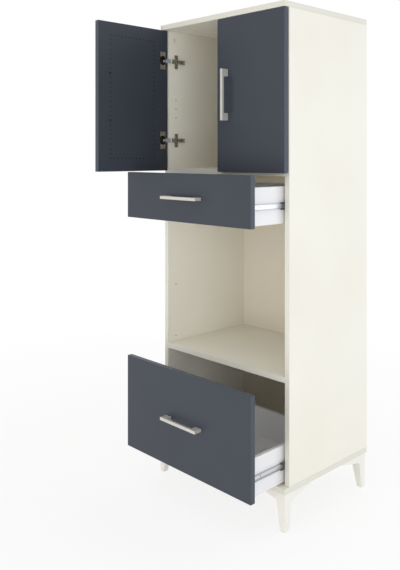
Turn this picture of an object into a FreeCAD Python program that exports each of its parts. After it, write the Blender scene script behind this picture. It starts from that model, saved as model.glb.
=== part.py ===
import FreeCAD, Part
import os
import re
import Sketcher

# A tall kitchen cabinet for a microwave oven at a handy height: a two-door cupboard on top,
# a shallow drawer, an open niche for the oven and a deep drawer, on four shaped corner legs.
# X runs to the right, Y to the back and Z up. The origin is on the floor at the front left corner.
# Doors and drawers are drawn closed and then moved to the stored pose: left door open, right
# door closed, both drawers pulled out.

os.makedirs("parts", exist_ok=True)
doc = FreeCAD.newDocument("microwave_cabinet")

# Driving sizes, in millimetres, degrees or counts. Places along Y count from the front plane.
sizes = {
    # whole cabinet
    "cabinet_width": 600,
    "cabinet_depth": 435,
    "body_height": 1510,
    "leg_height": 115,
    # boards of the carcass
    "board": 18,
    "edge_round": 0.5,
    "back_board": 3,
    "back_inset": 17,
    "groove_depth": 6,
    "groove_play": 0.2,
    "shelf_play": 0.5,
    # fronts
    "front_board": 18,
    "front_round": 1,
    "front_gap": 3,
    "side_reveal": 1.5,
    "front_spacing": 3,
    "top_reveal": 2,
    "bottom_reveal": 4,
    "door_height": 509,
    "small_front_height": 157,
    "big_front_height": 316,
    "floor_lap": 9,
    "shelf_lap": 5,
    # shelf-pin holes and spare holes
    "pin_hole_radius": 2.5,
    "pin_hole_depth": 10,
    "pin_hole_pitch": 32,
    "pin_hole_setback": 37,
    "pin_hole_rise": 217,
    "spare_hole_low": 20,
    "spare_hole_high": 211,
    # legs
    "leg_top": 32,
    "leg_foot": 19,
    "foot_round": 5,
    "wing_length": 122,
    "wing_tip": 4,
    "wing_drop": 25,
    "wing_board": 18,
    "wing_round": 12,
    "rear_leg_inset": 12,
    "leg_screw_place": 88,
    "leg_screw_radius": 2,
    "leg_screw_bite": 10,
    "leg_screw_recess": 0.4,
    # dowels and cam fittings of the carcass
    "dowel_radius": 4,
    "dowel_length": 30,
    "dowel_in_face": 10,
    "dowel_front": 78,
    "dowel_rear": 318,
    "cam_radius": 7.5,
    "cam_depth": 12.5,
    "cam_place": 34,
    "cam_front": 48,
    "cam_rear": 362,
    "cam_bolt_radius": 3,
    "cam_bolt_in_face": 11,
    # hinges
    "left_door_angle": 90,
    "right_door_angle": 0,
    "hinge_offset": 110,
    "pivot_x": 9.5,
    "pivot_y": 7.4,
    "hinge_pin_radius": 1,
    "hinge_pin_length": 18.8,
    "cup_centre": 21.5,
    "cup_radius": 17.5,
    "cup_wall": 0.8,
    "cup_depth": 14,
    "lug_gap": 10,
    "lug_reach": 3,
    "flange_width": 22,
    "flange_height": 63,
    "flange_sheet": 1,
    "cup_screw_spread": 52,
    "eye_radius": 2,
    "neck_width": 8,
    "tab_place": 22.5,
    "tab_width": 14,
    "arm_sheet": 1.4,
    "arm_width": 14,
    "arm_thick": 6,
    "arm_start": 30,
    "arm_end": 94,
    "arm_round": 0.8,
    "arm_dimple_radius": 3.2,
    "arm_dimple_depth": 2,
    "arm_fork_width": 4,
    "arm_fork_length": 7,
    "plate_thick": 3,
    "plate_width": 11,
    "plate_start": 36,
    "plate_end": 92,
    "cross_thick": 2,
    "cross_height": 50,
    "cross_width": 15,
    "cross_place": 58,
    "plate_screw_spread": 32,
    # handles
    "handle_length": 170,
    "handle_width": 10,
    "handle_reach": 28,
    "handle_bar": 9,
    "handle_foot": 25,
    "handle_round": 1.2,
    "handle_screw_spread": 160,
    "handle_screw_radius": 2,
    "handle_screw_bite": 10,
    "door_handle_offset": 46.5,
    # door bumpers
    "bumper_radius": 4,
    "bumper_thick": 2.5,
    "bumper_offset": 12,
    "bumper_rise": 4.5,
    # drawer boxes
    "drawer_pull": 148,
    "drawer_board": 12,
    "drawer_round": 0.5,
    "drawer_length": 350,
    "drawer_height": 115,
    "small_box_rise": 4,
    "big_box_rise": 1,
    "drawer_bottom": 3,
    "bottom_rise": 10,
    "bottom_groove": 5.5,
    "drawer_cam_radius": 6,
    "drawer_cam_depth": 9,
    "drawer_cam_place": 24,
    "drawer_bolt_radius": 2.5,
    "drawer_bolt_in_face": 11,
    "joint_height_low": 29,
    "joint_height_high": 90,
    "box_screw_length": 40,
    # ball-bearing slides
    "slide_space": 10,
    "slide_rise": 55,
    "rail_setback": 2,
    "rail_shortfall": 5,
    "rail_sheet": 1.2,
    "rail_play": 1,
    "rail_lip": 1.6,
    "outer_rail_height": 27,
    "inner_rail_height": 17.5,
    "inner_rail_depth": 7,
    "stop_sheet": 1,
    "stop_depth": 8,
    "stop_height": 10,
    "cage_sheet": 0.8,
    "cage_play": 0.4,
    "cage_depth": 5.6,
    "cage_height": 22,
    "cage_length": 150,
    "cage_start": 56,
    "cage_notch_length": 26,
    "cage_notch_height": 13,
    "ball_place": 5,
    "ball_play": 0.075,
    "ball_pitch": 25,
    "ball_count": 6,
    "rail_screw_offset": 45,
    # screws and the play in their holes
    "screw_radius": 1.8,
    "screw_head_radius": 3.6,
    "small_head_radius": 3,
    "screw_head": 1.6,
    "screw_bite": 11,
    "drawer_screw_bite": 9,
    "hole_play": 0.05,
}

sheet = doc.addObject("Spreadsheet::Sheet", "Sizes")
for row, (alias, value) in enumerate(sizes.items(), start=1):
    sheet.set(f"A{row}", alias)
    sheet.set(f"B{row}", str(value))
    sheet.setAlias(f"B{row}", alias)
doc.recompute()

# Places that follow from the sizes, as expressions that all pieces share.
places = {
    "carcass_front": "(front_board + front_gap)",
    "carcass_low": "(leg_height + board)",
    "carcass_top": "(leg_height + body_height - board)",
    "back_front": "(cabinet_depth - back_inset - back_board)",
    "door_width": "((cabinet_width - front_spacing) / 2 - side_reveal)",
    "door_top": "(carcass_top - top_reveal)",
    "door_low": "(door_top - door_height)",
    "floor_top": "(door_low + floor_lap)",
    "small_front_low": "(door_low - front_spacing - small_front_height)",
    "big_front_low": "(carcass_low + bottom_reveal)",
    "shelf_low": "(big_front_low + big_front_height - shelf_lap)",
    "cup_place": "(side_reveal + cup_centre)",
    "arm_low": "(board + plate_thick)",
    "drawer_left": "(board + slide_space)",
    "drawer_inner": "(board + slide_space + drawer_board)",
    "drawer_rear": "(front_board + drawer_length)",
    "rail_front": "(carcass_front + rail_setback)",
    "rail_length": "(drawer_length - rail_shortfall)",
    "wing_slope": "((wing_drop - wing_tip) / (wing_length - leg_top))",
}


def ex(text):
    """The same expression in the sheet's own words, with each place spelt out."""
    def word(found):
        name = found.group()
        if name in places:
            return ex(places[name])
        return "Sizes." + name if name in sizes else name
    return re.sub(r"[a-z][a-z_]*", word, str(text))


def bind(obj, **properties):
    """Bind properties to expressions. A double underscore stands for a dot."""
    for name, text in properties.items():
        obj.setExpression(name.replace("__", "."), ex(text))


def size(text):
    """The present value of an expression, for counts and for where a sketch starts."""
    return float(sheet.evalExpression(ex(text)))


turns = {
    "x": FreeCAD.Rotation(FreeCAD.Vector(0, 1, 0), 90),
    "-x": FreeCAD.Rotation(FreeCAD.Vector(0, 1, 0), -90),
    "y": FreeCAD.Rotation(FreeCAD.Vector(1, 0, 0), -90),
    "-y": FreeCAD.Rotation(FreeCAD.Vector(1, 0, 0), 90),
    "z": FreeCAD.Rotation(),
    "-z": FreeCAD.Rotation(FreeCAD.Vector(1, 0, 0), 180),
}
steps = {"x": (1, 0, 0), "-x": (-1, 0, 0), "y": (0, 1, 0), "-y": (0, -1, 0), "z": (0, 0, 1), "-z": (0, 0, -1)}


def along(start, axis, distance):
    """The point at a distance from a start along an axis."""
    return tuple(f"{place} + {step} * ({distance})" for place, step in zip(start, steps[axis]))


def opposite(axis):
    return axis[1:] if axis.startswith("-") else "-" + axis


def place_at(obj, point):
    bind(obj, Placement__Base__x=point[0], Placement__Base__y=point[1], Placement__Base__z=point[2])


def box(low, extent):
    """A plain box from its low corner and its extents along X, Y and Z."""
    made = doc.addObject("Part::Box", "Box")
    bind(made, Length=extent[0], Width=extent[1], Height=extent[2])
    place_at(made, low)
    return made


def rod(start, axis, radius, length):
    """A cylinder that starts at a point and runs along an axis."""
    made = doc.addObject("Part::Cylinder", "Rod")
    made.Placement = FreeCAD.Placement(FreeCAD.Vector(), turns[axis])
    bind(made, Radius=radius, Height=length)
    place_at(made, start)
    return made


def rounded_box(low, extent, radius):
    """A body with one box whose edges are all rounded."""
    body = doc.addObject("PartDesign::Body", "Board")
    block = body.newObject("PartDesign::AdditiveBox", "Block")
    attach(body, block, "XY_Plane")
    bind(block, Length=extent[0], Width=extent[1], Height=extent[2])
    bind(block, AttachmentOffset__Base__x=low[0], AttachmentOffset__Base__y=low[1],
         AttachmentOffset__Base__z=low[2])
    round_edges(body, block, radius)
    return body


def attach(body, feature, role):
    origin_plane = next(plane for plane in body.Origin.OriginFeatures if plane.Role == role)
    feature.AttachmentSupport = [(origin_plane, "")]
    feature.MapMode = "FlatFace"


def round_edges(body, base, radius, edges=None):
    """Round the named edges of a body's feature, or all of them."""
    fillet = body.newObject("PartDesign::Fillet", "Round")
    fillet.Base = (base, edges or [""])
    fillet.UseAllEdges = edges is None
    bind(fillet, Radius=radius)
    return fillet


def outline(body, role, offset, corners, rounds=None):
    """A closed sketch whose corners are bound to expressions. Rounds gives corner numbers a radius."""
    sketch = body.newObject("Sketcher::SketchObject", "Outline")
    attach(body, sketch, role)
    bind(sketch, AttachmentOffset__Base__z=offset)
    points = [FreeCAD.Vector(size(x), size(y), 0) for x, y in corners]
    count = len(points)
    for number, point in enumerate(points):
        sketch.addGeometry(Part.LineSegment(point, points[(number + 1) % count]))
    for number in range(count):
        sketch.addConstraint(Sketcher.Constraint("Coincident", number, 2, (number + 1) % count, 1))
    for number, (x, y) in enumerate(corners):
        for kind, text in (("DistanceX", x), ("DistanceY", y)):
            made = sketch.addConstraint(Sketcher.Constraint(kind, -1, 1, number, 1, size(text)))
            sketch.setExpression(f"Constraints[{made}]", ex(text))
    for number, radius in (rounds or {}).items():
        arc = sketch.GeometryCount
        before, corner, after = points[number - 1], points[number], points[(number + 1) % count]
        near_before = corner + (before - corner) * 0.3
        near_after = corner + (after - corner) * 0.3
        sketch.fillet((number - 1) % count, number, near_before, near_after, size(radius), True, True)
        made = sketch.addConstraint(Sketcher.Constraint("Radius", arc, size(radius)))
        sketch.setExpression(f"Constraints[{made}]", ex(radius))
    return sketch


def pad(body, sketch, length, both_ways=False, reverse=False):
    made = body.newObject("PartDesign::Pad", "Pad")
    made.Profile = (sketch, [""])
    made.Midplane = both_ways
    made.Reversed = reverse
    bind(made, Length=length)
    return made


def joined(pieces):
    """One solid from pieces that meet."""
    if len(pieces) == 1:
        return pieces[0]
    made = doc.addObject("Part::MultiFuse", "Joined")
    made.Shapes = pieces
    made.Refine = True
    return made


def bored(piece, tools):
    """A piece with its holes, grooves and recesses cut away."""
    made = doc.addObject("Part::Cut", "Bored")
    made.Base = piece
    made.Tool = joined(tools)
    return made


def copy_of(master, start, axis):
    """A copy of a piece that is drawn at the origin along +Z."""
    link = doc.addObject("App::Link", "Copy")
    link.LinkedObject = master
    link.Placement = FreeCAD.Placement(FreeCAD.Vector(), turns[axis])
    place_at(link, start)
    return link


def group(pieces):
    """Like pieces in one node, each still a solid of its own."""
    made = doc.addObject("Part::Compound", "Group")
    made.Links = pieces
    return made


def screw(head_radius, head, shank_radius, shank):
    """A screw to copy: its head starts at the origin and its shank runs along +Z."""
    start = ("0", "0", "0")
    blank = joined([rod(start, "z", head_radius, head), rod(start, "z", shank_radius, f"{head} + {shank}")])
    half_length, half_width, depth = f"{head_radius} * 0.55", f"{head_radius} * 0.11", f"{head} * 0.55"
    recess = [box((f"-{u}", f"-{v}", f"-{depth}"), (f"2 * {u}", f"2 * {v}", f"2 * {depth}"))
              for u, v in ((half_length, half_width), (half_width, half_length))]
    return bored(blank, recess)


class Side:
    """Turns places counted from the left outer face into places at the left or the right."""

    def __init__(self, name):
        self.name = name
        self.left = name == "left"

    def at(self, x):
        return f"({x})" if self.left else f"(cabinet_width - ({x}))"

    def low(self, x, extent):
        return f"({x})" if self.left else f"(cabinet_width - ({x}) - ({extent}))"

    def inward(self):
        return "x" if self.left else "-x"

    def outward(self):
        return "-x" if self.left else "x"

    def swing(self, obj):
        """Turn a piece that is drawn on the closed door to the door's angle about its pivot."""
        angle = "(-left_door_angle)" if self.left else "right_door_angle"
        pivot_x = self.at("pivot_x")
        obj.Placement = FreeCAD.Placement(FreeCAD.Vector(), FreeCAD.Rotation(FreeCAD.Vector(0, 0, 1), 1))
        cosine, sine = f"cos({angle} * 1 deg)", f"sin({angle} * 1 deg)"
        bind(obj, Placement__Rotation__Angle=angle)
        bind(obj, Placement__Base__x=f"{pivot_x} - {pivot_x} * {cosine} + pivot_y * {sine}",
             Placement__Base__y=f"pivot_y - {pivot_x} * {sine} - pivot_y * {cosine}")


both_sides = (Side("left"), Side("right"))
nodes = []


def keep(label, piece):
    piece.Label = label
    nodes.append(piece)
    return piece


# ---- carcass boards, with the cuts that the fittings add below ----

cap_extent = ("cabinet_width", "cabinet_depth", "board")
side_extent = ("board", "cabinet_depth - carcass_front", "body_height - 2 * board")
shelf_extent = ("cabinet_width - 2 * board", "back_front - shelf_play - carcass_front", "board")
board_places = {
    "top_panel": (("0", "0", "carcass_top"), cap_extent),
    "bottom_panel": (("0", "0", "leg_height"), cap_extent),
    "left_side_panel": (("0", "carcass_front", "carcass_low"), side_extent),
    "right_side_panel": (("cabinet_width - board", "carcass_front", "carcass_low"), side_extent),
    "cupboard_floor": (("board", "carcass_front", "floor_top - board"), shelf_extent),
    "niche_shelf": (("board", "carcass_front", "shelf_low"), shelf_extent),
}
cuts = {label: [] for label in board_places}

groove_front = "back_front - groove_play"
groove_width = "back_board + 2 * groove_play"
cap_groove = ("cabinet_width - 2 * board + 2 * groove_depth", groove_width, "groove_depth")
cuts["top_panel"].append(box(("board - groove_depth", groove_front, "carcass_top"), cap_groove))
cuts["bottom_panel"].append(box(("board - groove_depth", groove_front, "carcass_low - groove_depth"),
                                cap_groove))

for side in both_sides:
    panel_cuts = cuts[f"{side.name}_side_panel"]
    inner_face = side.at("board")
    panel_cuts.append(box((side.low("board - groove_depth", "groove_depth"), groove_front, "carcass_low"),
                          ("groove_depth", groove_width, "body_height - 2 * board")))
    for y in ("carcass_front + pin_hole_setback", "back_front - pin_hole_setback"):
        for step in (-1, 0, 1):
            start = (inner_face, y, f"floor_top + pin_hole_rise + {step} * pin_hole_pitch")
            panel_cuts.append(rod(start, side.outward(), "pin_hole_radius", "pin_hole_depth"))
    for rise in ("spare_hole_low", "spare_hole_high"):
        start = (inner_face, "carcass_front + pin_hole_setback", f"shelf_low + board + {rise}")
        panel_cuts.append(rod(start, side.outward(), "pin_hole_radius", "pin_hole_depth"))

back_low = "carcass_low - groove_depth + shelf_play"
back_side = "board - groove_depth + shelf_play"
keep("back_panel", box((back_side, "back_front", back_low),
                       (f"cabinet_width - 2 * ({back_side})", "back_board",
                        "body_height - 2 * board + 2 * groove_depth - 2 * shelf_play")))

# ---- dowels and cam fittings between the boards ----

dowels = []
cam_locks = []
cam_bolts = []


def dowel(face_board, edge_board, start, axis):
    """A dowel from the face of one board into the edge of the next, with its hole in each."""
    back = opposite(axis)
    in_edge = "dowel_length - dowel_in_face"
    cuts[face_board].append(rod(start, back, "dowel_radius + hole_play", "dowel_in_face + hole_play"))
    cuts[edge_board].append(rod(start, axis, "dowel_radius + hole_play", f"{in_edge} + hole_play"))
    dowels.append(rod(along(start, back, "dowel_in_face"), axis, "dowel_radius", "dowel_length"))


def cam_fitting(face_board, edge_board, start, axis, lock_start, lock_axis):
    """A bolt in the face of one board, held by a cam lock that is let into the next."""
    back = opposite(axis)
    bolt_length = "cam_bolt_in_face + cam_place - cam_radius - hole_play"
    cuts[face_board].append(rod(start, back, "cam_bolt_radius + hole_play", "cam_bolt_in_face + hole_play"))
    cuts[edge_board].append(rod(start, axis, "cam_bolt_radius + hole_play", "cam_place"))
    cuts[edge_board].append(rod(lock_start, lock_axis, "cam_radius + hole_play", "cam_depth + hole_play"))
    cam_bolts.append(rod(along(start, back, "cam_bolt_in_face"), axis, "cam_bolt_radius", bolt_length))
    slot = box(("-cam_radius * 0.6", "-cam_radius * 0.12", "-cam_radius * 0.2"),
               ("cam_radius * 1.2", "cam_radius * 0.24", "cam_radius * 0.4"))
    lock = bored(rod(("0", "0", "0"), "z", "cam_radius", "cam_depth"), [slot])
    cam_locks.append(copy_of(lock, lock_start, lock_axis))


for side in both_sides:
    panel = f"{side.name}_side_panel"
    for cap, z, axis in (("top_panel", "carcass_top", "-z"), ("bottom_panel", "carcass_low", "z")):
        for y in ("dowel_front", "dowel_rear"):
            dowel(cap, panel, (side.at("board / 2"), y, z), axis)
        for y in ("cam_front", "cam_rear"):
            lock_start = along((side.at("board"), y, z), axis, "cam_place")
            cam_fitting(cap, panel, (side.at("board / 2"), y, z), axis, lock_start, side.outward())
    for shelf, low in (("cupboard_floor", "floor_top - board"), ("niche_shelf", "shelf_low")):
        middle = f"{low} + board / 2"
        for y in ("dowel_front", "dowel_rear"):
            dowel(panel, shelf, (side.at("board"), y, middle), side.inward())
        for y in ("cam_front", "cam_rear"):
            cam_fitting(panel, shelf, (side.at("board"), y, middle), side.inward(),
                        (side.at("board + cam_place"), y, low), "z")

keep("dowels", group(dowels))
keep("cam_locks", group(cam_locks))
keep("cam_bolts", group(cam_bolts))

# ---- legs ----
# The front left leg is a tapered square post with two wings. The others are its mirror images.

post_top = "(leg_height - wing_drop)"
post_profile = (("0", "0"), ("leg_foot", "0"), ("leg_top", post_top), ("0", post_top))
neck = f"({post_top} - 2 * wing_round)"
neck_reach = f"leg_foot + (leg_top - leg_foot) * {neck} / {post_top}"
wing_profile = (("0", neck), (neck_reach, neck), ("leg_top", post_top),
                ("wing_length", "leg_height - wing_tip"), ("wing_length", "leg_height"), ("0", "leg_height"))


def leg_section(role, profile, rounds, thickness):
    """A section of the leg that stands on one of the two outer faces."""
    body = doc.addObject("PartDesign::Body", "Section")
    pad(body, outline(body, role, "0", profile, rounds), thickness, reverse=role == "XZ_Plane")
    return body


outer_faces = ("XZ_Plane", "YZ_Plane")
post = doc.addObject("Part::MultiCommon", "Post")
post.Shapes = [leg_section(role, post_profile, {1: "foot_round"}, "leg_top") for role in outer_faces]
wings = [leg_section(role, wing_profile, {2: "wing_round"}, "wing_board") for role in outer_faces]
block = box(("0", "0", post_top), ("leg_top", "leg_top", "wing_drop"))

screw_rise = "(leg_height - wing_tip - (wing_length - leg_screw_place) * wing_slope)"
leg_screw = screw("screw_head_radius", "screw_head", "leg_screw_radius",
                  f"(leg_height + leg_screw_bite - {screw_rise} - screw_head)")
wing_middle = "wing_board / 2"
leg_tools = []
for x, y in (("leg_screw_place", wing_middle), (wing_middle, "leg_screw_place")):
    leg_tools.append(rod((x, y, "0"), "z", "leg_screw_radius + hole_play", "leg_height"))
    leg_tools.append(rod((x, y, "0"), "z", "screw_head_radius + leg_screw_recess",
                         f"{screw_rise} + screw_head"))
leg = bored(joined([post, *wings, block]), leg_tools)

leg_screws = []
for label, right, rear in (("front_left_leg", False, False), ("front_right_leg", True, False),
                           ("rear_left_leg", False, True), ("rear_right_leg", True, True)):
    piece = leg
    if right:
        mirrored = doc.addObject("Part::Mirroring", "Mirrored")
        mirrored.Source = piece
        mirrored.Normal = FreeCAD.Vector(1, 0, 0)
        bind(mirrored, Base__x="cabinet_width / 2")
        piece = mirrored
    if rear:
        mirrored = doc.addObject("Part::Mirroring", "Mirrored")
        mirrored.Source = piece
        mirrored.Normal = FreeCAD.Vector(0, 1, 0)
        bind(mirrored, Base__y="(cabinet_depth - rear_leg_inset) / 2")
        piece = mirrored
    keep(label, piece)
    for x, y in (("leg_screw_place", wing_middle), (wing_middle, "leg_screw_place")):
        screw_x = f"cabinet_width - {x}" if right else x
        screw_y = f"cabinet_depth - rear_leg_inset - {y}" if rear else y
        leg_screws.append(copy_of(leg_screw, (screw_x, screw_y, screw_rise), "z"))
        cuts["bottom_panel"].append(rod((screw_x, screw_y, "leg_height"), "z",
                                        "leg_screw_radius + hole_play", "leg_screw_bite + hole_play"))
keep("leg_screws", group(leg_screws))

# ---- hinges ----

long_screw = screw("small_head_radius", "screw_head", "screw_radius", "(flange_sheet + screw_bite)")
plate_screw = screw("small_head_radius", "screw_head", "screw_radius", "(cross_thick + screw_bite)")
hinge_heights = ("(door_low + hinge_offset)", "(door_top - hinge_offset)")
plates = []
plate_screws = []
arms = []


def hinge_plate(side, height):
    """The cross-shaped plate on the side panel, with its two screws."""
    foot = box((side.low("board", "plate_thick"), "plate_start", f"{height} - plate_width / 2"),
               ("plate_thick", "plate_end - plate_start", "plate_width"))
    cross = box((side.low("board", "cross_thick"), "cross_place - cross_width / 2",
                 f"{height} - cross_height / 2"), ("cross_thick", "cross_width", "cross_height"))
    holes = []
    for way in (-1, 1):
        centre = (side.at("board"), "cross_place", f"{height} + {way} * plate_screw_spread / 2")
        holes.append(rod(centre, side.inward(), "screw_radius + hole_play", "plate_thick"))
        cuts[f"{side.name}_side_panel"].append(rod(centre, side.outward(), "screw_radius + hole_play",
                                                   "screw_bite + hole_play"))
        head = along(centre, side.inward(), "cross_thick + screw_head")
        plate_screws.append(copy_of(plate_screw, head, side.outward()))
    plates.append(bored(joined([foot, cross]), holes))


def hinge_arm(side, height):
    """The fixed arm: an eye round the pin, a neck, a bright tab and the thick arm on its plate."""
    pivot = (side.at("pivot_x"), "pivot_y", f"{height} - neck_width / 2")
    eye = rod(pivot, "z", "eye_radius", "neck_width")
    neck = box((side.low("pivot_x", "tab_place + arm_sheet - pivot_x"), "pivot_y - arm_sheet / 2",
                f"{height} - neck_width / 2"),
               ("tab_place + arm_sheet - pivot_x", "arm_sheet", "neck_width"))
    tab = box((side.low("tab_place", "arm_sheet"), "pivot_y - arm_sheet / 2", f"{height} - tab_width / 2"),
              ("arm_sheet", "arm_start + arm_sheet - pivot_y + arm_sheet / 2", "tab_width"))
    thick = rounded_box((side.low("arm_low", "arm_thick"), "arm_start", f"{height} - arm_width / 2"),
                        ("arm_thick", "arm_end - arm_start", "arm_width"), "arm_round")
    top = side.at("arm_low + arm_thick")
    tools = [rod(along(pivot, "-z", "1"), "z", "hinge_pin_radius + hole_play", "neck_width + 2")]
    for y in ("cross_place", "plate_end - cross_width"):
        tools.append(rod((top, y, height), side.outward(), "arm_dimple_radius", "arm_dimple_depth"))
    tools.append(box((side.low("arm_low", "arm_thick"), "arm_end - arm_fork_length",
                      f"{height} - arm_fork_width / 2"), ("arm_thick", "arm_fork_length", "arm_fork_width")))
    arms.append(bored(joined([eye, neck, tab, thick]), tools))


def hinge_cup(side, height):
    """The cup in the door, with its flange and the two lugs that hold the pin."""
    rim = (side.at("cup_place"), "front_board", height)
    shell = rod(rim, "-y", "cup_radius", "cup_depth")
    flange = box((side.low("cup_place - flange_width / 2", "flange_width"), "front_board",
                  f"{height} - flange_height / 2"), ("flange_width", "flange_sheet", "flange_height"))
    lug_length = "(pivot_x + lug_reach - side_reveal)"
    lugs = []
    for low in (f"{height} - cup_radius", f"{height} + lug_gap / 2"):
        lugs.append(box((side.low("side_reveal", lug_length), "pivot_y - lug_reach", low),
                        (lug_length, "2 * lug_reach", "cup_radius - lug_gap / 2")))
    hollow = rod(along(rim, "y", "flange_sheet"), "-y", "cup_radius - cup_wall",
                 "cup_depth + flange_sheet - cup_wall")
    tools = [bored(hollow, lugs),
             rod((side.at("pivot_x"), "pivot_y", f"{height} - hinge_pin_length / 2 - hole_play"), "z",
                 "hinge_pin_radius + hole_play", "hinge_pin_length + 2 * hole_play")]
    for way in (-1, 1):
        centre = along(rim, "z", f"{way} * cup_screw_spread / 2")
        tools.append(rod(centre, "y", "screw_radius + hole_play", "flange_sheet"))
    return bored(joined([shell, flange]), tools)


for side in both_sides:
    for height in hinge_heights:
        hinge_plate(side, height)
        hinge_arm(side, height)
keep("hinge_plates", group(plates))
keep("hinge_plate_screws", group(plate_screws))
keep("hinge_arms", group(arms))

# ---- handles ----

handle_screw = screw("screw_head_radius", "screw_head", "handle_screw_radius",
                     "(front_board + handle_screw_bite)")


def handle_profile(centre, upright):
    """The bow as seen from its side: along its length, and outwards to -Y."""
    half = "handle_length / 2"
    foot = "(handle_length / 2 - handle_foot)"
    inner = "-(handle_reach - handle_bar)"
    bow = ((f"-{half}", "0"), (f"-{half}", "-handle_reach"), (half, "-handle_reach"), (half, "0"),
           (foot, "0"), (foot, inner), (f"-{foot}", inner), (f"-{foot}", "0"))
    return [(y, f"{centre} + {s}") if upright else (f"{centre} + {s}", y) for s, y in bow]


def handle(x, z, upright):
    """A bow handle on a front, upright or level, with the screws that hold it from inside."""
    body = doc.addObject("PartDesign::Body", "Bow")
    if upright:
        sketch = outline(body, "YZ_Plane", x, handle_profile(z, upright))
    else:
        sketch = outline(body, "XY_Plane", z, handle_profile(x, upright))
    bow = pad(body, sketch, "handle_width", both_ways=True)
    round_edges(body, bow, "handle_round")
    threads = []
    screws = []
    holes = []
    for way in (-1, 1):
        shift = f"{way} * handle_screw_spread / 2"
        centre = (x, "0", f"{z} + {shift}") if upright else (f"{x} + {shift}", "0", z)
        threads.append(rod(centre, "-y", "handle_screw_radius + hole_play", "handle_screw_bite + hole_play"))
        holes.append(rod(centre, "y", "handle_screw_radius + hole_play", "front_board"))
        screws.append(copy_of(handle_screw, along(centre, "y", "front_board + screw_head"), "-y"))
    return bored(body, threads), group(screws), holes


# ---- doors ----

for side in both_sides:
    name = f"{side.name}_door"
    tools = []
    cups = []
    pins = []
    cup_screws = []
    for height in hinge_heights:
        rim = (side.at("cup_place"), "front_board", height)
        tools.append(rod(rim, "-y", "cup_radius + hole_play", "cup_depth + hole_play"))
        cups.append(hinge_cup(side, height))
        pins.append(rod((side.at("pivot_x"), "pivot_y", f"{height} - hinge_pin_length / 2"), "z",
                        "hinge_pin_radius", "hinge_pin_length"))
        for way in (-1, 1):
            centre = along(rim, "z", f"{way} * cup_screw_spread / 2")
            tools.append(rod(centre, "-y", "screw_radius + hole_play", "screw_bite + hole_play"))
            cup_screws.append(copy_of(long_screw, along(centre, "y", "flange_sheet + screw_head"), "-y"))
    free_edge = "(side_reveal + door_width)"
    bow, bow_screws, holes = handle(side.at(f"{free_edge} - door_handle_offset"),
                                    "(door_low + door_height / 2)", True)
    tools += holes
    panel = rounded_box((side.low("side_reveal", "door_width"), "0", "door_low"),
                        ("door_width", "front_board", "door_height"), "front_round")
    bumper = rod((side.at(f"{free_edge} - bumper_offset"), "front_board", "door_low + bumper_rise"), "y",
                 "bumper_radius", "bumper_thick")
    keep(f"{name}_panel", bored(panel, tools))
    keep(f"{name}_hinge_cups", group(cups))
    keep(f"{name}_hinge_pins", group(pins))
    keep(f"{name}_cup_screws", group(cup_screws))
    keep(f"{name}_handle", bow)
    keep(f"{name}_handle_screws", bow_screws)
    keep(f"{name}_bumper", group([bumper]))
    for piece in nodes[-7:]:
        side.swing(piece)

# ---- drawers and their slides ----

outer_screw = screw("small_head_radius", "rail_sheet / 2", "screw_radius", "(rail_sheet / 2 + screw_bite)")
inner_screw = screw("small_head_radius", "rail_sheet / 2", "screw_radius",
                    "(rail_sheet / 2 + drawer_screw_bite)")
box_screw = screw("small_head_radius", "screw_head", "screw_radius", "(box_screw_length - screw_head)")
outer_rail_screws = []
outer_depth = "(slide_space - rail_play)"
cage_side = "(rail_sheet + cage_play)"
ball_rise = "((inner_rail_height + outer_rail_height) / 4 - rail_sheet / 2)"
ball_radius = "((outer_rail_height - inner_rail_height) / 4 - rail_sheet / 2 - ball_play)"


def rail(side, middle, profile, front, length):
    """A rolled section along Y. Its profile counts from the side panel's inner face and from the middle."""
    body = doc.addObject("PartDesign::Body", "Rail")
    corners = [(side.at(f"board + {u}"), f"{middle} + {z}") for u, z in profile]
    pad(body, outline(body, "XZ_Plane", f"-({front})", corners), length, reverse=True)
    return body


def outer_rail(side, middle):
    """The rail on the side panel: a channel with lips, and a stop behind the drawer's rail."""
    high, deep = "outer_rail_height / 2", outer_depth
    edge = f"({high} - rail_sheet)"
    lip = f"({high} - rail_sheet - rail_lip)"
    half = [("0", high), (deep, high), (deep, lip), (f"{deep} - rail_sheet", lip),
            (f"{deep} - rail_sheet", edge), ("rail_sheet", edge)]
    profile = half + [(u, f"-{z}") for u, z in reversed(half)]
    channel = rail(side, middle, profile, "rail_front", "rail_length")
    stop = box((side.low("board", "stop_depth"), "rail_front + rail_length - stop_sheet",
                f"{middle} - stop_height / 2"), ("stop_depth", "stop_sheet", "stop_height"))
    tools = []
    for y in ("rail_front + rail_screw_offset", "rail_front + rail_length - rail_screw_offset"):
        centre = (side.at("board"), y, middle)
        seat = along(centre, side.inward(), "rail_sheet / 2")
        tools.append(rod(centre, side.inward(), "screw_radius + hole_play", "rail_sheet"))
        tools.append(rod(seat, side.inward(), "small_head_radius + hole_play", "rail_sheet / 2"))
        cuts[f"{side.name}_side_panel"].append(rod(centre, side.outward(), "screw_radius + hole_play",
                                                   "screw_bite + hole_play"))
        head = along(centre, side.inward(), "rail_sheet")
        outer_rail_screws.append(copy_of(outer_screw, head, side.outward()))
    return bored(joined([channel, stop]), tools)


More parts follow.
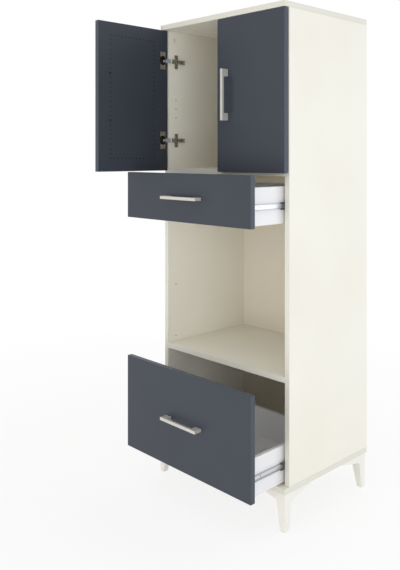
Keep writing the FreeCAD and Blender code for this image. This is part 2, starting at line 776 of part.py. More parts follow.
def inner_rail(side, middle):
    """The drawer's rail: a narrower channel, open towards the side panel."""
    high, near, far = "inner_rail_height / 2", "(slide_space - inner_rail_depth)", "slide_space"
    edge = f"({high} - rail_sheet)"
    half = [(near, high), (near, edge), (f"{far} - rail_sheet", edge)]
    profile = [(far, high)] + half + [(u, f"-{z}") for u, z in reversed(half)] + [(far, f"-{high}")]
    tools = []
    screws = []
    side_holes = []
    for y in ("rail_front + rail_screw_offset", "rail_front + rail_length - rail_screw_offset"):
        centre = (side.at("drawer_left"), y, middle)
        seat = along(centre, side.outward(), "rail_sheet / 2")
        tools.append(rod(centre, side.outward(), "screw_radius + hole_play", "rail_sheet"))
        tools.append(rod(seat, side.outward(), "small_head_radius + hole_play", "rail_sheet / 2"))
        side_holes.append(rod(centre, side.inward(), "screw_radius + hole_play",
                              "drawer_screw_bite + hole_play"))
        screws.append(copy_of(inner_screw, along(centre, side.outward(), "rail_sheet"), side.inward()))
    channel = rail(side, middle, profile, "carcass_front", "rail_length")
    return bored(channel, tools), screws, side_holes


def ball_cage(side, middle):
    """The cage between the rails, a channel forked at its front, with balls in both flanges."""
    high = "cage_height / 2"
    inner = f"({high} - cage_sheet)"
    half = [(cage_side, high), (f"{cage_side} + cage_depth", high), (f"{cage_side} + cage_depth", inner),
            (f"{cage_side} + cage_sheet", inner)]
    profile = half + [(u, f"-{z}") for u, z in reversed(half)]
    front = "rail_front + cage_start"
    balls = []
    tools = [box((side.low(f"board + {cage_side}", "cage_sheet"), front, f"{middle} - cage_notch_height / 2"),
                 ("cage_sheet", "cage_notch_length", "cage_notch_height"))]
    for number in range(round(size("ball_count"))):
        y = f"{front} + cage_length / 2 + ({number} - (ball_count - 1) / 2) * ball_pitch"
        base = (side.at("board + ball_place"), y, f"{middle} - {high} - 1")
        tools.append(rod(base, "z", f"{ball_radius} + hole_play", "cage_height + 2"))
        for way in (-1, 1):
            ball = doc.addObject("Part::Sphere", "Ball")
            bind(ball, Radius=ball_radius)
            place_at(ball, (side.at("board + ball_place"), y, f"{middle} + {way} * {ball_rise}"))
            balls.append(ball)
    return bored(rail(side, middle, profile, front, "cage_length"), tools), balls


def pull_out(piece, distance):
    """Move a piece forwards from the closed drawer's place."""
    bind(piece, Placement__Base__y=f"-({distance})")


def drawer(name, front_low, front_height, box_low):
    """A drawer with its front, box, slides and handle, and what stays behind in the carcass."""
    middle = f"({box_low} + slide_rise)"
    bottom_low = f"({box_low} + bottom_rise)"
    groove_high = "drawer_bottom + groove_play"
    front_tools = [box(("drawer_inner - bottom_groove", "front_board - bottom_groove", bottom_low),
                       ("cabinet_width - 2 * (drawer_inner - bottom_groove)", "bottom_groove", groove_high))]
    back_low = f"{bottom_low} + drawer_bottom"
    back_tools = []
    outer_rails, inner_rails, cages, balls = [], [], [], []
    fittings, screws, drawer_sides = [], [], []
    bolt_length = "drawer_bolt_in_face + drawer_cam_place - drawer_cam_radius - hole_play"
    for side in both_sides:
        tools = [box((side.low("drawer_inner - bottom_groove", "bottom_groove"), "front_board", bottom_low),
                     ("bottom_groove", "drawer_length", groove_high))]
        outer_rails.append(outer_rail(side, middle))
        channel, rail_screws, side_holes = inner_rail(side, middle)
        inner_rails.append(channel)
        screws += rail_screws
        tools += side_holes
        cage, cage_balls = ball_cage(side, middle)
        cages.append(cage)
        balls += cage_balls
        for rise in ("joint_height_low", "joint_height_high"):
            start = (side.at("drawer_inner - drawer_board / 2"), "front_board", f"{box_low} + {rise}")
            lock = (side.at("drawer_inner"), "front_board + drawer_cam_place", f"{box_low} + {rise}")
            front_tools.append(rod(start, "-y", "drawer_bolt_radius + hole_play",
                                   "drawer_bolt_in_face + hole_play"))
            tools.append(joined([rod(start, "y", "drawer_bolt_radius + hole_play", "drawer_cam_place"),
                                 rod(lock, side.outward(), "drawer_cam_radius + hole_play",
                                     "drawer_cam_depth + hole_play")]))
            fittings.append(rod(along(start, "-y", "drawer_bolt_in_face"), "y", "drawer_bolt_radius",
                                bolt_length))
            fittings.append(rod(lock, side.outward(), "drawer_cam_radius", "drawer_cam_depth"))
            head = (side.at("drawer_left"), "drawer_rear - drawer_board / 2", f"{box_low} + {rise}")
            tools.append(rod(head, side.inward(), "small_head_radius + hole_play", "screw_head"))
            tools.append(rod(head, side.inward(), "screw_radius + hole_play", "drawer_board"))
            back_tools.append(rod(head, side.inward(), "screw_radius + hole_play",
                                  "box_screw_length + hole_play"))
            screws.append(copy_of(box_screw, head, side.inward()))
        board = rounded_box((side.low("drawer_left", "drawer_board"), "front_board", box_low),
                            ("drawer_board", "drawer_length", "drawer_height"), "drawer_round")
        drawer_sides.append(bored(board, tools))

    bow, bow_screws, holes = handle("(cabinet_width / 2)", f"({front_low} + {front_height} / 2)", False)
    front = rounded_box(("side_reveal", "0", front_low),
                        ("cabinet_width - 2 * side_reveal", "front_board", front_height), "front_round")
    back_height = "drawer_height - bottom_rise - drawer_bottom"
    back = box(("drawer_inner", "drawer_rear - drawer_board", back_low),
               ("cabinet_width - 2 * drawer_inner", "drawer_board", back_height))
    bottom_side = "(drawer_inner - bottom_groove + groove_play)"
    bottom = box((bottom_side, "front_board - bottom_groove + groove_play", bottom_low),
                 (f"cabinet_width - 2 * {bottom_side}", "drawer_length + bottom_groove - groove_play",
                  "drawer_bottom"))
    pulled = [keep(f"{name}_front", bored(front, front_tools + holes)),
              keep(f"{name}_left_side", drawer_sides[0]),
              keep(f"{name}_right_side", drawer_sides[1]),
              keep(f"{name}_back", bored(back, back_tools)),
              keep(f"{name}_bottom", group([bottom])),
              keep(f"{name}_inner_rails", group(inner_rails)),
              keep(f"{name}_box_screws", group(screws)),
              keep(f"{name}_cams", group(fittings)),
              keep(f"{name}_handle", bow),
              keep(f"{name}_handle_screws", bow_screws)]
    followed = [keep(f"{name}_ball_cages", group(cages)),
                keep(f"{name}_balls", group(balls))]
    keep(f"{name}_outer_rails", group(outer_rails))
    for piece in pulled:
        pull_out(piece, "drawer_pull")
    for piece in followed:
        pull_out(piece, "drawer_pull / 2")


drawer("small_drawer", "small_front_low", "small_front_height", "(small_front_low + small_box_rise)")
drawer("big_drawer", "big_front_low", "big_front_height", "(big_front_low + big_box_rise)")
keep("outer_rail_screws", group(outer_rail_screws))

for label, (low, extent) in board_places.items():
    keep(label, bored(rounded_box(low, extent, "edge_round"), cuts[label]))

doc.recompute()
for obj in doc.Objects:
    if "Invalid" in obj.State or "Error" in obj.State:
        raise SystemExit(f"{obj.Label} failed: {obj.State}")
for obj in nodes:
    if obj.Shape.isNull() or not obj.Shape.isValid():
        raise SystemExit(f"{obj.Label} has no valid shape")
    obj.Shape.exportStep(f"parts/{obj.Label}.step")
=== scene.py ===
import math

import bmesh
import bpy
import numpy as np
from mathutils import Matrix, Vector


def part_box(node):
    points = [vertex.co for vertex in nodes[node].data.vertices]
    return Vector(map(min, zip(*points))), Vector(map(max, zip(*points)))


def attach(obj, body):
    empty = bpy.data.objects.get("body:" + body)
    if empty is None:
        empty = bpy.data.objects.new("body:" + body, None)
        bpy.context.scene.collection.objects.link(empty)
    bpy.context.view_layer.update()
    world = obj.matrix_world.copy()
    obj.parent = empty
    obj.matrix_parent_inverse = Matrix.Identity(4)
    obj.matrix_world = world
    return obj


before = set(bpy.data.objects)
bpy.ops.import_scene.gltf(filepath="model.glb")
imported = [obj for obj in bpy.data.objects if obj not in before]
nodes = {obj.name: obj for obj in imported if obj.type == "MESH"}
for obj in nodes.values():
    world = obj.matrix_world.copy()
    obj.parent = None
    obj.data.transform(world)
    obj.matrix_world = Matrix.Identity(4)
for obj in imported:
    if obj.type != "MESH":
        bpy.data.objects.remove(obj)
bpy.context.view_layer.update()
print("frame loaded:", len(nodes), "pieces")

mm = 0.001
noiseSpan = (0.3, 0.7)         # the middle of a noise's range, which most patterns use


class Look:
    # a material with its node tree; every method adds a node and returns its output socket
    def __init__(self, name, roughness=0.5, metallic=0.0, specular=0.5):
        self.material = bpy.data.materials.new(name)
        self.material.use_nodes = True
        self.tree = self.material.node_tree
        self.shader = self.tree.nodes["Principled BSDF"]
        self.shader.inputs["Roughness"].default_value = roughness
        self.shader.inputs["Metallic"].default_value = metallic
        self.shader.inputs["Specular IOR Level"].default_value = specular
        self.coords = self.tree.nodes.new("ShaderNodeTexCoord").outputs["Object"]

    def link(self, source, node, socket):
        if isinstance(source, (int, float)):
            node.inputs[socket].default_value = source
        elif isinstance(source, tuple):
            node.inputs[socket].default_value = (*source, 1.0)
        else:
            self.tree.links.new(source, node.inputs[socket])

    def math(self, operation, a, b=0.0):
        node = self.tree.nodes.new("ShaderNodeMath")
        node.operation = operation
        self.link(a, node, 0)
        self.link(b, node, 1)
        return node.outputs[0]

    def axes(self):
        # the object coordinates as three sockets
        node = self.tree.nodes.new("ShaderNodeSeparateXYZ")
        self.tree.links.new(self.coords, node.inputs[0])
        return node.outputs

    def stretched(self, scale):
        # object coordinates, scaled along each axis
        node = self.tree.nodes.new("ShaderNodeMapping")
        self.tree.links.new(self.coords, node.inputs["Vector"])
        node.inputs["Scale"].default_value = scale
        return node.outputs[0]

    def noise(self, scale, detail=3.0, rough=0.5, stretch=None):
        node = self.tree.nodes.new("ShaderNodeTexNoise")
        node.inputs["Scale"].default_value = scale
        node.inputs["Detail"].default_value = detail
        node.inputs["Roughness"].default_value = rough
        self.tree.links.new(self.stretched(stretch) if stretch else self.coords, node.inputs["Vector"])
        return node.outputs["Fac"]

    def ramp(self, value, low, high, toLow=0.0, toHigh=1.0):
        node = self.tree.nodes.new("ShaderNodeMapRange")
        self.link(value, node, "Value")
        for socket, number in (("From Min", low), ("From Max", high), ("To Min", toLow), ("To Max", toHigh)):
            node.inputs[socket].default_value = number
        return node.outputs["Result"]

    def spread(self, noise, toLow=0.0, toHigh=1.0):
        # a noise brought from its middle range to the given one
        return self.ramp(noise, *noiseSpan, toLow, toHigh)

    def mix(self, amount, colourA, colourB):
        # sockets 6 and 7 of this node are its colours
        node = self.tree.nodes.new("ShaderNodeMix")
        node.data_type = "RGBA"
        self.link(amount, node, 0)
        self.link(colourA, node, 6)
        self.link(colourB, node, 7)
        return node.outputs[2]

    def colour(self, source):
        self.link(source, self.shader, "Base Color")

    def presentColour(self):
        return self.shader.inputs["Base Color"].links[0].from_socket

    def roughness(self, source):
        self.link(source, self.shader, "Roughness")

    def bump(self, height, strength, distance):
        # bumps are chained, so that a surface can have a coarse and a fine one
        node = self.tree.nodes.new("ShaderNodeBump")
        node.inputs["Strength"].default_value = strength
        node.inputs["Distance"].default_value = distance
        self.tree.links.new(height, node.inputs["Height"])
        earlier = self.shader.inputs["Normal"].links
        if earlier:
            self.tree.links.new(earlier[0].from_socket, node.inputs["Normal"])
        self.tree.links.new(node.outputs[0], self.shader.inputs["Normal"])


def linear(red, green, blue):
    # from the 0 to 255 values of a display to the linear values that a shader takes
    def one(value):
        v = value / 255
        return v / 12.92 if v <= 0.04045 else ((v + 0.055) / 1.055) ** 2.4
    return (one(red), one(green), one(blue))


def giveMaterial(piece, look):
    piece.data.materials.clear()
    piece.data.materials.append(look.material)


# strip: a factor on the face colour at the board edges that paints light and shade there: painted shade on
# the cream edges (below 1), a painted highlight on the anthracite edges (above 1)
foils = {
    "cream": {"face": linear(242, 239, 226), "shade": linear(239, 235, 221), "roughness": 0.45,
              "grain": 900, "grainHeight": 0.02 * mm, "specular": 0.3, "strip": 0.86},
    "anthracite": {"face": linear(54, 60, 70), "shade": linear(50, 56, 66), "roughness": 0.46,
                   "grain": 1100, "grainHeight": 0.03 * mm, "specular": 0.45, "strip": 1.3},
    "drawerWhite": {"face": linear(240, 239, 239), "shade": linear(236, 235, 235), "roughness": 0.5,
                    "grain": 800, "grainHeight": 0.02 * mm, "specular": 0.35, "strip": 1.0},
    "backCream": {"face": linear(235, 228, 212), "shade": linear(230, 222, 205), "roughness": 0.55,
                  "grain": 700, "grainHeight": 0.03 * mm, "specular": 0.3, "strip": 1.0},
}
boardLook = {
    "skin": 0.6 * mm,          # depth under which a hole or groove shows the chipboard
    "seam": 1.0 * mm,          # distance of the edge strip's joint from the corner
    "seamWidth": 0.35 * mm,
    "seamDark": 0.82,
    "chip": linear(208, 184, 146),
    "chipDark": linear(160, 130, 94),
    "chipScale": 420,
    "chipSpan": (0.35, 0.65),
    "chipRoughness": 0.3,      # what a cut adds to the foil's roughness
    "cloudScale": 3.5,
    "roughnessSpread": 0.05,
    "grainStrength": 0.5,
    "waveScale": 6,            # the slow unevenness of a pressed board
    "waveStrength": 0.25,
    "waveHeight": 0.4 * mm,
}


def boardMaterial(name, foil, low, high):
    # colour = foil with slow clouds, times the strip factor within the strip's thickness of an edge, which is
    # painted shade on the cream edges and painted light on the anthracite ones, darker on the strips' joint
    # lines;
    # a point deeper than the skin on all three axes is a cut, and shows chips
    settings = foils[foil]
    look = Look(name, settings["roughness"], specular=settings["specular"])
    axes = look.axes()
    extent = [high[i] - low[i] for i in range(3)]
    thin = extent.index(min(extent))
    depths = []
    for axis in range(3):
        centre = (low[axis] + high[axis]) / 2
        offset = look.math("ABSOLUTE", look.math("SUBTRACT", axes[axis], centre))
        depths.append(look.math("SUBTRACT", extent[axis] / 2, offset))
    inside = look.math("GREATER_THAN", depths[0], boardLook["skin"])
    for depth in depths[1:]:
        inside = look.math("MULTIPLY", inside, look.math("GREATER_THAN", depth, boardLook["skin"]))
    inPlane = [depths[i] for i in range(3) if i != thin]
    nearest = look.math("MINIMUM", *inPlane)
    seamDistance = look.math("ABSOLUTE", look.math("SUBTRACT", nearest, boardLook["seam"]))
    seam = look.math("LESS_THAN", seamDistance, boardLook["seamWidth"] / 2)
    clouds = look.spread(look.noise(boardLook["cloudScale"], 2))
    foilColour = look.mix(clouds, settings["face"], settings["shade"])
    paintedEdgeColour = tuple(c * settings["strip"] for c in settings["face"])
    foilColour = look.mix(look.math("LESS_THAN", nearest, boardLook["seam"]), foilColour, paintedEdgeColour)
    seamColour = tuple(c * boardLook["seamDark"] for c in settings["shade"])
    foilColour = look.mix(seam, foilColour, seamColour)
    chips = look.ramp(look.noise(boardLook["chipScale"], 4, 0.7), *boardLook["chipSpan"])
    look.colour(look.mix(inside, foilColour, look.mix(chips, boardLook["chipDark"], boardLook["chip"])))
    fine = look.noise(settings["grain"], 2, 0.6)
    middle, change = settings["roughness"], boardLook["roughnessSpread"]
    foilRoughness = look.spread(fine, middle - change, middle + change)
    cutRoughness = look.math("MULTIPLY", inside, boardLook["chipRoughness"])
    look.roughness(look.math("ADD", foilRoughness, cutRoughness))
    look.bump(fine, boardLook["grainStrength"], settings["grainHeight"])
    look.bump(look.noise(boardLook["waveScale"], 2), boardLook["waveStrength"], boardLook["waveHeight"])
    return look


boardFoils = {"cream": ["top_panel", "bottom_panel", "left_side_panel", "right_side_panel", "cupboard_floor",
                        "niche_shelf"],
              "backCream": ["back_panel"],
              "anthracite": ["left_door_panel", "right_door_panel", "small_drawer_front", "big_drawer_front"],
              "drawerWhite": [f"{drawer}_{part}" for drawer in ("small_drawer", "big_drawer")
                              for part in ("left_side", "right_side", "back", "bottom")]}
for foil, boards in boardFoils.items():
    for board in boards:
        low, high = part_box(board)
        giveMaterial(nodes[board], boardMaterial(board + "Foil", foil, low, high))
print("boards covered")


lacquer = {"face": linear(242, 239, 230), "shade": linear(238, 234, 224), "roughness": 0.32,
           "cloudScale": 9, "grain": 260, "grainStrength": 0.25, "grainHeight": 0.08 * mm,
           "coat": 0.25, "coatRoughness": 0.2}


def legLacquer():
    look = Look("legLacquer", lacquer["roughness"])
    clouds = look.spread(look.noise(lacquer["cloudScale"], 3))
    look.colour(look.mix(clouds, lacquer["face"], lacquer["shade"]))
    look.bump(look.noise(lacquer["grain"], 2, 0.4), lacquer["grainStrength"], lacquer["grainHeight"])
    look.shader.inputs["Coat Weight"].default_value = lacquer["coat"]
    look.shader.inputs["Coat Roughness"].default_value = lacquer["coatRoughness"]
    return look


brushing = {"fineness": 1400, "patchScale": 30, "smoother": 0.05, "rougher": 0.06,
            "strength": 0.35, "height": 0.03 * mm}
plating = {"cloudScale": 70, "smoother": 0.06, "rougher": 0.08, "grain": 1500, "strength": 0.2,
           "height": 0.02 * mm}
moulding = {"grain": 1300, "darker": 0.85, "strength": 0.3, "height": 0.03 * mm}


def brushedMetal(name, bright, dark, roughness, stretch, metallic=1.0):
    # fine lines along one axis, from noise that is stretched by the given scales
    look = Look(name, roughness, metallic=metallic)
    lines = look.noise(brushing["fineness"], 2, 0.6, stretch)
    look.colour(look.mix(look.spread(lines), dark, bright))
    look.roughness(look.spread(look.noise(brushing["patchScale"], 2), roughness - brushing["smoother"],
                               roughness + brushing["rougher"]))
    look.bump(lines, brushing["strength"], brushing["height"])
    return look


def platedMetal(name, bright, dark, roughness, cloudScale=plating["cloudScale"], metallic=1.0):
    # plated steel: soft clouds of tone and of gloss
    look = Look(name, roughness, metallic=metallic)
    clouds = look.noise(cloudScale, 4, 0.6)
    look.colour(look.mix(look.spread(clouds), dark, bright))
    look.roughness(look.spread(clouds, roughness - plating["smoother"], roughness + plating["rougher"]))
    look.bump(look.noise(plating["grain"], 2), plating["strength"], plating["height"])
    return look


def plainPlastic(name, colour, roughness, specular=0.5):
    # one colour with a fine grain of a slightly darker one
    look = Look(name, roughness, specular=specular)
    grain = look.noise(moulding["grain"], 2)
    darker = tuple(c * moulding["darker"] for c in colour)
    look.colour(look.mix(look.spread(grain), darker, colour))
    look.bump(grain, moulding["strength"], moulding["height"])
    return look


beech = {"dark": linear(190, 148, 104), "light": linear(222, 188, 142), "roughness": 0.6,
         "grain": 240, "stretch": (0.15, 1.0, 1.0), "strength": 0.4, "height": 0.1 * mm}
silicone = {"dark": linear(205, 207, 206), "light": linear(226, 228, 227), "roughness": 0.25,
            "cloudScale": 300, "clear": 0.9, "bending": 1.41, "grain": 900, "strength": 0.2,
            "height": 0.03 * mm}


def beechWood():
    look = Look("beechWood", beech["roughness"])
    grain = look.noise(beech["grain"], 4, 0.6, beech["stretch"])
    look.colour(look.mix(look.spread(grain), beech["dark"], beech["light"]))
    look.bump(grain, beech["strength"], beech["height"])
    return look


def clearSilicone():
    look = Look("clearSilicone", silicone["roughness"])
    clouds = look.spread(look.noise(silicone["cloudScale"], 2))
    look.colour(look.mix(clouds, silicone["dark"], silicone["light"]))
    look.shader.inputs["Transmission Weight"].default_value = silicone["clear"]
    look.shader.inputs["IOR"].default_value = silicone["bending"]
    look.bump(look.noise(silicone["grain"], 2), silicone["strength"], silicone["height"])
    return look


handleNickel = {"bright": linear(216, 213, 206), "dark": linear(200, 197, 189), "roughness": 0.4,
                "metallic": 0.35}
hingeMetal = {"bright": linear(182, 178, 162), "dark": linear(140, 135, 120), "roughness": 0.4,
              "metallic": 0.6}
looks = {
    "legLacquer": legLacquer(),
    "handleUpright": brushedMetal("handleUpright", stretch=(1.0, 1.0, 0.02), **handleNickel),
    "handleLevel": brushedMetal("handleLevel", stretch=(0.02, 1.0, 1.0), **handleNickel),
    "hingeNickel": platedMetal("hingeNickel", **hingeMetal),
    "screwZinc": platedMetal("screwZinc", linear(196, 195, 192), linear(150, 149, 146), 0.3, 400),
    "castZinc": platedMetal("castZinc", linear(160, 160, 160), linear(120, 120, 120), 0.45, 300),
    "ballSteel": platedMetal("ballSteel", linear(230, 230, 232), linear(205, 205, 208), 0.12, 200),
    "cageBlack": plainPlastic("cageBlack", linear(52, 50, 46), 0.4),
    "blackZinc": platedMetal("blackZinc", linear(44, 45, 48), linear(30, 31, 34), 0.45, 300, metallic=0.5),
    # near-black door dots: painted shade that stands in for small holes in the doors
    "holeShadeBlack": plainPlastic("holeShadeBlack", linear(13, 14, 16), 0.8, 0.1),
    "coverCream": plainPlastic("coverCream", linear(236, 231, 220), 0.4),
    "slotDark": platedMetal("slotDark", linear(92, 86, 78), linear(60, 56, 50), 0.4, 500),
    "beechWood": beechWood(),
    "clearSilicone": clearSilicone(),
}

nodeLooks = {
    "legLacquer": ["front_left_leg", "front_right_leg", "rear_left_leg", "rear_right_leg"],
    "handleUpright": ["left_door_handle", "right_door_handle"],
    "handleLevel": ["small_drawer_handle", "big_drawer_handle"],
    "hingeNickel": ["hinge_plates"],
    "castZinc": ["cam_locks", "small_drawer_cams", "big_drawer_cams"],
    "ballSteel": ["small_drawer_balls", "big_drawer_balls"],
    "cageBlack": ["small_drawer_ball_cages", "big_drawer_ball_cages"],
    "beechWood": ["dowels"],
    "clearSilicone": ["left_door_bumper", "right_door_bumper"],
    "screwZinc": ["leg_screws", "cam_bolts", "hinge_plate_screws", "outer_rail_screws",
                  "left_door_hinge_pins", "right_door_hinge_pins", "left_door_cup_screws",
                  "right_door_cup_screws", "small_drawer_box_screws", "big_drawer_box_screws"],
    "blackZinc": ["left_door_handle_screws", "right_door_handle_screws", "small_drawer_handle_screws",
                  "big_drawer_handle_screws"],
}
for lookName, names in nodeLooks.items():
    for name in names:
        giveMaterial(nodes[name], looks[lookName])


arms = {"linkEnd": 30.5 * mm, "link": linear(206, 211, 216)}
rails = {"bright": linear(229, 230, 232), "dark": linear(212, 214, 217), "roughness": 0.34,
         "metallic": 0.6, "stretch": (1.0, 0.02, 1.0)}
# painted shade in the rail channel's corners: a darker band near each edge along Z
channelCornerShade = {"outside": 3.2 * mm, "inside": 1.4 * mm, "colour": linear(186, 187, 187)}
# painted shade in the hinge cup's hollow, from just under the door's inner face downwards
cupHollowShade = {"shadeStart": 0.3 * mm, "shadeEnd": 4.0 * mm, "colour": linear(58, 55, 48)}


def armMetal(name):
    # the arm's front end, up to the link's end along Y, is bright, and the rest is dull nickel
    look = platedMetal(name, **hingeMetal)
    front = look.math("LESS_THAN", look.axes()[1], arms["linkEnd"])
    look.colour(look.mix(front, look.presentColour(), arms["link"]))
    return look


def railZinc(name, low, high):
    # zinc drawn along Y; a band near each of the two edges, in the channel's corners, is painted shade, so
    # darker
    look = brushedMetal(name, **rails)
    away = look.math("ABSOLUTE", look.math("SUBTRACT", look.axes()[2], (low.z + high.z) / 2))
    half = (high.z - low.z) / 2
    cornerShade = look.ramp(away, half - channelCornerShade["outside"], half - channelCornerShade["inside"])
    look.colour(look.mix(cornerShade, look.presentColour(), channelCornerShade["colour"]))
    return look


def cupMetal(name, axis, face):
    # nickel flange; under the door's inner face the cup's hollow is painted shade, darker with depth
    look = platedMetal(name, **hingeMetal)
    depth = look.math("SUBTRACT", face, look.axes()[axis])
    shaded = look.ramp(depth, cupHollowShade["shadeStart"], cupHollowShade["shadeEnd"])
    look.colour(look.mix(shaded, look.presentColour(), cupHollowShade["colour"]))
    return look


giveMaterial(nodes["hinge_arms"], armMetal("armMetal"))
giveMaterial(nodes["left_door_hinge_cups"], cupMetal("leftCupMetal", 0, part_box("left_door_panel")[1].x))
giveMaterial(nodes["right_door_hinge_cups"], cupMetal("rightCupMetal", 1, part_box("right_door_panel")[1].y))
for drawer in ("small_drawer", "big_drawer"):
    for kind in ("outer_rails", "inner_rails"):
        name = f"{drawer}_{kind}"
        giveMaterial(nodes[name], railZinc(name + "Zinc", *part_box(name)))
print("lacquer, metals and plastics given")


def gridFaces(rows, columns, closed=True):
    # quads of a grid whose columns run round and join up
    across = columns if closed else columns - 1
    r, c = np.meshgrid(np.arange(rows - 1), np.arange(across), indexing="ij")
    nextC = (c + 1) % columns
    return np.stack([r * columns + c, r * columns + nextC, (r + 1) * columns + nextC, (r + 1) * columns + c],
                    axis=-1).reshape(-1, 4)


def turnedShape(profile, segments, centres, axis, side):
    # a profile of (radius, rise) turned round an axis at each centre:
    # point = centre + radius (cos a e1 + sin a e2) + rise e3, with e3 = side times the axis
    rise = np.zeros(3)
    rise[axis] = side
    first = np.roll(np.array([1.0, 0.0, 0.0]), (axis + 1) % 3)
    second = np.cross(rise, first)
    angle = np.linspace(0, 2 * math.pi, segments, endpoint=False)
    ring = np.cos(angle)[:, None] * first + np.sin(angle)[:, None] * second
    radius, height = np.array(profile).T
    shape = radius[:, None, None] * ring[None] + height[:, None, None] * rise
    shape = shape.reshape(-1, 3)
    points = (np.array(centres)[:, None, :] + shape[None]).reshape(-1, 3)
    faces = gridFaces(len(profile), segments)
    count = len(profile) * segments
    quads = (np.arange(len(centres))[:, None, None] * count + faces[None]).reshape(-1, 4)
    return points, quads


def newPiece(name, points, faces, look, body):
    # rings of no radius are merged to one point, which closes the shape
    mesh = bpy.data.meshes.new(name)
    mesh.from_pydata(points.tolist(), [], faces.tolist())
    work = bmesh.new()
    work.from_mesh(mesh)
    bmesh.ops.remove_doubles(work, verts=work.verts, dist=0.001 * mm)
    work.to_mesh(mesh)
    work.free()
    mesh.shade_smooth()
    piece = bpy.data.objects.new(name, mesh)
    bpy.context.scene.collection.objects.link(piece)
    piece.data.materials.append(look.material)
    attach(piece, body)
    return piece


# rows of small dots on the inner face of each door, as a rectangle, near black as painted shade standing in
# for small holes;
# sunk is how far they go in, and the dome's rows are shares of the radius and of the rise
dots = {"radius": 1.9 * mm, "rise": 0.25 * mm, "sunk": 0.1 * mm, "pitch": 16 * mm, "freeEdge": 50 * mm,
        "hingeEdge": 62 * mm, "ends": 45 * mm, "segments": 10,
        "dome": [(1, 0.4), (0.85, 0.85), (0.5, 1), (0, 1)]}


def dotCentres(free, hinge, low, high):
    # points at an even pitch along the four sides of a rectangle
    def line(start, end):
        count = max(2, round(abs(end - start) / dots["pitch"]) + 1)
        return np.linspace(start, end, count)
    width, height = line(free, hinge), line(low, high)
    rows = [np.stack([width, np.full(len(width), z)], 1) for z in (low, high)]
    columns = [np.stack([np.full(len(height) - 2, u), height[1:-1]], 1) for u in (free, hinge)]
    return np.concatenate(rows + columns)


def doorDots(name, body, axis, faceAt, free, hinge, low, high):
    # a turned dome at each dot's centre, on the face that looks along the given axis
    flat = dotCentres(free, hinge, low, high)
    other = 1 - axis
    centres = np.zeros((len(flat), 3))
    centres[:, axis] = faceAt
    centres[:, other] = flat[:, 0]
    centres[:, 2] = flat[:, 1]
    foot = [(0, -dots["sunk"]), (dots["radius"], -dots["sunk"])]
    profile = foot + [(r * dots["radius"], h * dots["rise"]) for r, h in dots["dome"]]
    points, faces = turnedShape(profile, dots["segments"], centres, axis, 1)
    return newPiece(name, points, faces, looks["holeShadeBlack"], body)


low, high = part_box("left_door_panel")
doorDots("left_door_dots", "left_door", 0, high.x, low.y + dots["freeEdge"], high.y - dots["hingeEdge"],
         low.z + dots["ends"], high.z - dots["ends"])
low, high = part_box("right_door_panel")
doorDots("right_door_dots", "right_door", 1, high.y, low.x + dots["freeEdge"], high.x - dots["hingeEdge"],
         low.z + dots["ends"], high.z - dots["ends"])

# covers over the cam locks that show on the side panels, a hair off the panel; the dome's rows are
# shares of the radius and of the rise
covers = {"radius": 9 * mm, "rise": 1.1 * mm, "gap": 0.02 * mm, "fromEnd": 34 * mm, "front": 48 * mm,
          "rear": 362 * mm, "segments": 40, "underside": 0.97,
          "dome": [(1, 0.1), (1, 0.45), (0.95, 0.75), (0.8, 0.92), (0.4, 1), (0, 1)]}


def camCovers():
    # four turned covers on each side panel's inner face
    lowSide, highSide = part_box("left_side_panel")
    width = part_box("right_side_panel")[1].x
    foot = [(0, covers["gap"]), (covers["underside"] * covers["radius"], covers["gap"])]
    profile = foot + [(r * covers["radius"], h * covers["rise"]) for r, h in covers["dome"]]
    allPoints, allFaces = [], []
    for faceAt, side in ((highSide.x, 1), (width - highSide.x, -1)):
        centres = [(faceAt, y, z) for y in (covers["front"], covers["rear"])
                   for z in (lowSide.z + covers["fromEnd"], highSide.z - covers["fromEnd"])]
        points, faces = turnedShape(profile, covers["segments"], centres, 0, side)
        allFaces.append(faces + sum(len(p) for p in allPoints))
        allPoints.append(points)
    return newPiece("cam_covers", np.concatenate(allPoints), np.concatenate(allFaces), looks["coverCream"],
                    "carcass")


camCovers()

# adjusting screws in the dimples of the hinge arms: a disc with a cross recess
armScrews = {"radius": 3.0 * mm, "crown": 0.3 * mm, "slotDepth": 0.6 * mm, "slotHalf": 0.5 * mm,
             "slotReach": 2.1 * mm, "low": 1.95 * mm, "edge": 1.0 * mm, "places": (58 * mm, 77 * mm),
             "armTop": 27 * mm, "rings": 15, "segments": 48}


def screwHeads():
    # rise = edge + crown (1 - (r/R)^2), less the slot's depth where |u| or |v| is under half the slot's width
    settings = armScrews
    r = np.linspace(settings["radius"], 0, settings["rings"])
    a = np.linspace(0, 2 * math.pi, settings["segments"], endpoint=False)
    radius, angle = np.meshgrid(r, a, indexing="ij")
    u, v = radius * np.cos(angle), radius * np.sin(angle)
    rise = settings["edge"] + settings["crown"] * (1 - (radius / settings["radius"]) ** 2)
    cross = (np.minimum(np.abs(u), np.abs(v)) < settings["slotHalf"]) & (radius < settings["slotReach"])
    rise = rise - settings["slotDepth"] * cross
    # below: the middle and the rim of the flat underside
    u, v = (np.concatenate([0 * w[:1], w[:1], w]) for w in (u, v))
    rise = np.concatenate([0 * rise[:2], rise])
    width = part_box("right_side_panel")[1].x
    points, faces = [], []
    grid = gridFaces(len(u), settings["segments"])
    for side, armTop in ((1, settings["armTop"]), (-1, width - settings["armTop"])):
        for low, high in hingeHeights():
            for y in settings["places"]:
                across = armTop + side * (rise - settings["low"])
                faces.append(grid + len(points) * u.size)
                points.append(np.stack([across, y + side * u, (low + high) / 2 + v], -1).reshape(-1, 3))
    return newPiece("arm_screws", np.concatenate(points), np.concatenate(faces), looks["slotDark"], "carcass")


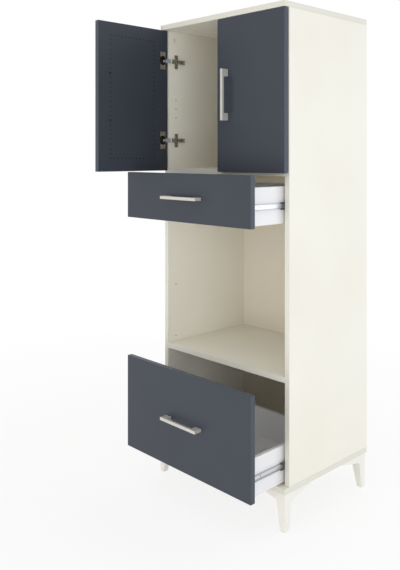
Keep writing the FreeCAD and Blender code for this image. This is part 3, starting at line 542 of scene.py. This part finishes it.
def hingeHeights():
    # the span of each hinge along Z, read from the two groups of points of the left pins
    z = np.array([v.co.z for v in nodes["left_door_hinge_pins"].data.vertices])
    middle = (z.min() + z.max()) / 2
    return [(z[z < middle].min(), z[z < middle].max()), (z[z > middle].min(), z[z > middle].max())]


screwHeads()
print("small pieces made")


room = {"reach": 70.0, "floorColour": linear(250, 250, 250), "roughness": 0.9, "specular": 0.1,
        "nearGlow": 0.78, "farGlow": 1.0, "near": 0.5, "far": 2.2, "skyLight": 0.81, "skySeen": 1.0}


def seenRays(tree):
    # 1 for the rays by which the room is seen: straight, in gloss or through glass
    rays = tree.nodes.new("ShaderNodeLightPath")
    total = rays.outputs["Is Camera Ray"]
    for name in ("Is Glossy Ray", "Is Transmission Ray"):
        adder = tree.nodes.new("ShaderNodeMath")
        adder.operation = "MAXIMUM"
        tree.links.new(total, adder.inputs[0])
        tree.links.new(rays.outputs[name], adder.inputs[1])
        total = adder.outputs[0]
    return total


def floor():
    # a square in Z 0 that reaches the same length to each side
    reach = room["reach"]
    corners = [(-reach, -reach, 0), (reach, -reach, 0), (reach, reach, 0), (-reach, reach, 0)]
    mesh = bpy.data.meshes.new("floor")
    mesh.from_pydata(corners, [], [(0, 1, 2, 3)])
    piece = bpy.data.objects.new("floor", mesh)
    bpy.context.scene.collection.objects.link(piece)
    # white grows from near to far, so that the floor keeps the shadow where the cabinet stands
    look = Look("paleRoom", room["roughness"], specular=room["specular"])
    look.colour(room["floorColour"])
    length = look.tree.nodes.new("ShaderNodeVectorMath")
    length.operation = "LENGTH"
    look.tree.links.new(look.coords, length.inputs[0])
    share = look.ramp(length.outputs["Value"], room["near"], room["far"], room["nearGlow"], room["farGlow"])
    share = look.math("MULTIPLY", share, seenRays(look.tree))
    glow = look.tree.nodes.new("ShaderNodeEmission")
    mixer = look.tree.nodes.new("ShaderNodeMixShader")
    look.tree.links.new(share, mixer.inputs[0])
    look.tree.links.new(look.shader.outputs[0], mixer.inputs[1])
    look.tree.links.new(glow.outputs[0], mixer.inputs[2])
    look.tree.links.new(mixer.outputs[0], look.tree.nodes["Material Output"].inputs["Surface"])
    mesh.materials.append(look.material)


floor()

lamps = {
    "rightRearLamp": {"place": (3.8, 2.7, 1.1), "aim": (0.6, 0.0, 0.8), "size": 1.6, "power": 19,
                      "colour": (0.86, 0.98, 1.2)},
    "rightFrontLamp": {"place": (4.0, -2.0, 1.0), "aim": (0.4, 0.1, 0.9), "size": 1.8, "power": 22,
                       "colour": (0.95, 0.99, 1.07)},
    "lowFrontLamp": {"place": (0.7, -2.2, 0.3), "aim": (0.3, 0.0, 0.3), "size": 1.0, "power": 11,
                     "colour": (1, 0.985, 0.955)},
}


def addLamp(name, place, aim, size, power, colour):
    # a square lamp turned from its place to the point that it lights
    light = bpy.data.lights.new(name, "AREA")
    light.shape = "SQUARE"
    light.size = size
    light.energy = power
    light.color = colour
    lamp = bpy.data.objects.new(name, light)
    bpy.context.scene.collection.objects.link(lamp)
    lamp.location = place
    direction = np.array(aim) - np.array(place)
    flat = math.hypot(direction[0], direction[1])
    lamp.rotation_euler = (math.atan2(flat, -direction[2]), 0, math.atan2(-direction[0], direction[1]))


for lampName, settings in lamps.items():
    addLamp(lampName, **settings)


def softSky():
    # pale light from all around, shown as white: light + seen * (shown - light)
    sky = bpy.data.worlds.new("softRoom")
    bpy.context.scene.world = sky
    sky.use_nodes = True
    shader = sky.node_tree.nodes["Background"]
    shader.inputs["Color"].default_value = (1, 1, 1, 1)
    strength = sky.node_tree.nodes.new("ShaderNodeMath")
    strength.operation = "MULTIPLY_ADD"
    sky.node_tree.links.new(seenRays(sky.node_tree), strength.inputs[0])
    strength.inputs[1].default_value = room["skySeen"] - room["skyLight"]
    strength.inputs[2].default_value = room["skyLight"]
    sky.node_tree.links.new(strength.outputs[0], shader.inputs["Strength"])


softSky()

view = {"place": (1.980, -1.587, 1.1495), "turn": 0.778, "lens": 43.55,
        "sensor": 36, "shiftX": -0.0733, "shiftY": -0.2266}
camera = bpy.data.cameras.new("camera")
camera.sensor_width = view["sensor"]
camera.lens = view["lens"]
camera.shift_x = view["shiftX"]
camera.shift_y = view["shiftY"]
cameraObject = bpy.data.objects.new("camera", camera)
bpy.context.scene.collection.objects.link(cameraObject)
cameraObject.location = view["place"]
cameraObject.rotation_euler = (math.pi / 2, 0, view["turn"])   # level, turned about Z
bpy.context.scene.camera = cameraObject
bpy.context.scene.view_settings.view_transform = "Standard"
print("room, lamps and camera set")
